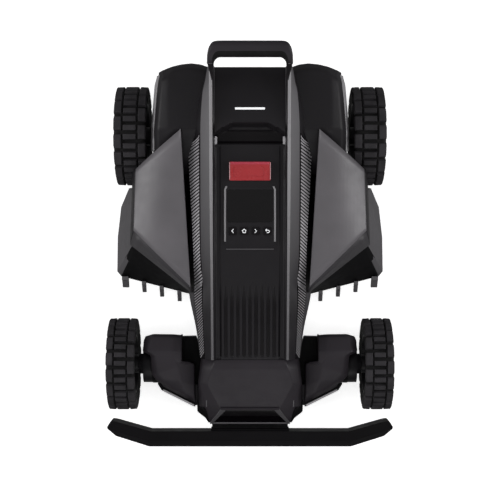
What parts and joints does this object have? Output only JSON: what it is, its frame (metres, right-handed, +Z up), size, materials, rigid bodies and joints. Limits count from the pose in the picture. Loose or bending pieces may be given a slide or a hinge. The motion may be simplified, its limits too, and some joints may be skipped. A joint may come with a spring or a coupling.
{
  "type": "robotic lawn mower",
  "caption": "Battery robotic lawn mower with block-tread wheels, rocking front axle, sprung bumper, raised spine with carry handle, and pivoting-blade cutting discs under the deck.",
  "frame": {"origin": "on the ground under the middle of the overall box", "axes": "+Z up, the front faces -Y, left and right in names are as seen from in front, with right towards +X"},
  "size_m": [0.5692, 0.778, 0.318],
  "materials": {
    "black_shell": "fine-grained satin",
    "dark_shell": "fine-grained satin",
    "grey_shell": "satin moulded grey",
    "skirt_grey": "satin moulded grey",
    "rail_grey": "satin moulded grey",
    "carbon_trim": "woven diagonal relief",
    "comb_grey": "satin",
    "gloss_black": "polished",
    "stop_red": "polished red",
    "key_black": "smooth",
    "tyre": "moulded rubber",
    "rim_black": "satin",
    "inner_plastic": "moulded",
    "motor_metal": "cast and turned",
    "steel": "ground",
    "disc_plate": "powder coat",
    "blade_steel": "hardened, ground edges",
    "battery": "moulded",
    "board": "solder mask",
    "contact": "polished",
    "light": "diffusing",
    "bumper_black": "soft-touch",
    "cast_beam": "black coated casting"
  },
  "bodies": {
    "chassis": {"chassis_tub": "inner_plastic", "front_frame": "inner_plastic", "spine_cover": "black_shell", "left_rail": "rail_grey", "right_rail": "rail_grey", "handle_bow": "dark_shell", "rear_shell": "black_shell", "left_wing": "grey_shell", "right_wing": "grey_shell", "left_side_panel": "carbon_trim", "right_side_panel": "carbon_trim", "nose_cowl": "dark_shell", "nose_window": "gloss_black", "camera_modules": "inner_plastic", "deck_shroud": "black_shell", "side_skirts": "skirt_grey", "comb_guards": "comb_grey", "control_bezel": "black_shell", "display_glass": "gloss_black", "status_light": "light", "battery_pack": "battery", "battery_cover": "inner_plastic", "main_board": "board", "gnss_antenna": "light", "rear_gearmotors": "rim_black", "height_motor": "motor_metal", "height_frame": "steel", "charging_contacts": "contact", "cover_screws": "steel", "axle_pivot_pin": "steel"},
    "front_axle": {"front_beam": "cast_beam", "left_arm_cover": "dark_shell", "right_arm_cover": "dark_shell", "front_gearmotors": "rim_black"},
    "bumper": {"bumper_bar": "bumper_black", "bumper_bracket": "inner_plastic"},
    "stop_bar": {"stop_button": "stop_red"},
    "carriage": {"cutting_carriage": "inner_plastic", "disc_motors": "motor_metal"},
    "height_screw": {"lead_screw": "steel"},
    "rear_left_wheel": {"rear_left_tyre": "tyre", "rear_left_rim": "rim_black"},
    "rear_right_wheel": {"rear_right_tyre": "tyre", "rear_right_rim": "rim_black"},
    "front_left_wheel": {"front_left_tyre": "tyre", "front_left_rim": "rim_black"},
    "front_right_wheel": {"front_right_tyre": "tyre", "front_right_rim": "rim_black"},
    "left_key": {"key_left": "key_black"},
    "home_key": {"key_home": "key_black"},
    "right_key": {"key_right": "key_black"},
    "back_key": {"key_back": "key_black"},
    "left_cutting_disc": {"left_disc": "disc_plate"},
    "left_disc_blade_1": {"left_blade_1": "blade_steel"},
    "left_disc_blade_2": {"left_blade_2": "blade_steel"},
    "left_disc_blade_3": {"left_blade_3": "blade_steel"},
    "right_cutting_disc": {"right_disc": "disc_plate"},
    "right_disc_blade_1": {"right_blade_1": "blade_steel"},
    "right_disc_blade_2": {"right_blade_2": "blade_steel"},
    "right_disc_blade_3": {"right_blade_3": "blade_steel"}
  },
  "joints": [
    {"name": "rear_left_wheel_spin", "type": "hinge", "parent": "chassis", "child": "rear_left_wheel", "pos_m": [-0.2325, 0.231, 0.098], "axis": [1, 0, 0], "continuous": true},
    {"name": "rear_right_wheel_spin", "type": "hinge", "parent": "chassis", "child": "rear_right_wheel", "pos_m": [0.2325, 0.231, 0.098], "axis": [1, 0, 0], "continuous": true},
    {"name": "front_left_wheel_spin", "type": "hinge", "parent": "front_axle", "child": "front_left_wheel", "pos_m": [-0.2525, -0.2235, 0.091], "axis": [1, 0, 0], "continuous": true},
    {"name": "front_right_wheel_spin", "type": "hinge", "parent": "front_axle", "child": "front_right_wheel", "pos_m": [0.2525, -0.2235, 0.091], "axis": [1, 0, 0], "continuous": true},
    {"name": "front_axle_roll", "type": "hinge", "parent": "chassis", "child": "front_axle", "pos_m": [0, -0.2235, 0.091], "axis": [0, 1, 0], "range_deg": [-5, 5]},
    {"name": "bumper_press", "type": "slide", "parent": "chassis", "child": "bumper", "axis": [0, 1, 0], "range_m": [0, 0.008], "stiffness_N_per_m": 1500, "springref_m": -0.004},
    {"name": "stop_bar_press", "type": "slide", "parent": "chassis", "child": "stop_bar", "axis": [0, 0.0599, -0.9982], "range_m": [0, 0.004], "stiffness_N_per_m": 900, "springref_m": -0.002},
    {"name": "left_key_press", "type": "slide", "parent": "chassis", "child": "left_key", "axis": [0, 0.0599, -0.9982], "range_m": [0, 0.0012], "stiffness_N_per_m": 400, "springref_m": -0.0006},
    {"name": "home_key_press", "type": "slide", "parent": "chassis", "child": "home_key", "axis": [0, 0.0599, -0.9982], "range_m": [0, 0.0012], "stiffness_N_per_m": 400, "springref_m": -0.0006},
    {"name": "right_key_press", "type": "slide", "parent": "chassis", "child": "right_key", "axis": [0, 0.0599, -0.9982], "range_m": [0, 0.0012], "stiffness_N_per_m": 400, "springref_m": -0.0006},
    {"name": "back_key_press", "type": "slide", "parent": "chassis", "child": "back_key", "axis": [0, 0.0599, -0.9982], "range_m": [0, 0.0012], "stiffness_N_per_m": 400, "springref_m": -0.0006},
    {"name": "cut_height", "type": "slide", "parent": "chassis", "child": "carriage", "axis": [0, 0, 1], "range_m": [-0.025, 0.03]},
    {"name": "height_screw_spin", "type": "hinge", "parent": "chassis", "child": "height_screw", "pos_m": [0, 0.034, 0.17], "axis": [0, 0, 1], "range_deg": [-760, 910]},
    {"name": "left_disc_spin", "type": "hinge", "parent": "carriage", "child": "left_cutting_disc", "pos_m": [-0.11, 0.034, 0.05], "axis": [0, 0, 1], "continuous": true},
    {"name": "left_blade_1_swing", "type": "hinge", "parent": "left_cutting_disc", "child": "left_disc_blade_1", "pos_m": [-0.11, 0.104, 0.0483], "axis": [0, 0, 1], "range_deg": [-100, 100]},
    {"name": "left_blade_2_swing", "type": "hinge", "parent": "left_cutting_disc", "child": "left_disc_blade_2", "pos_m": [-0.17062, -0.001, 0.0483], "axis": [0, 0, 1], "range_deg": [-100, 100]},
    {"name": "left_blade_3_swing", "type": "hinge", "parent": "left_cutting_disc", "child": "left_disc_blade_3", "pos_m": [-0.04938, -0.001, 0.0483], "axis": [0, 0, 1], "range_deg": [-100, 100]},
    {"name": "right_disc_spin", "type": "hinge", "parent": "carriage", "child": "right_cutting_disc", "pos_m": [0.11, 0.034, 0.05], "axis": [0, 0, 1], "continuous": true},
    {"name": "right_blade_1_swing", "type": "hinge", "parent": "right_cutting_disc", "child": "right_disc_blade_1", "pos_m": [0.11, 0.104, 0.0483], "axis": [0, 0, 1], "range_deg": [-100, 100]},
    {"name": "right_blade_2_swing", "type": "hinge", "parent": "right_cutting_disc", "child": "right_disc_blade_2", "pos_m": [0.04938, -0.001, 0.0483], "axis": [0, 0, 1], "range_deg": [-100, 100]},
    {"name": "right_blade_3_swing", "type": "hinge", "parent": "right_cutting_disc", "child": "right_disc_blade_3", "pos_m": [0.17062, -0.001, 0.0483], "axis": [0, 0, 1], "range_deg": [-100, 100]}
  ],
  "couplings": [
    {"joint": "height_screw_spin", "follows": "cut_height", "rad_per_m": 523.6}
  ]
}
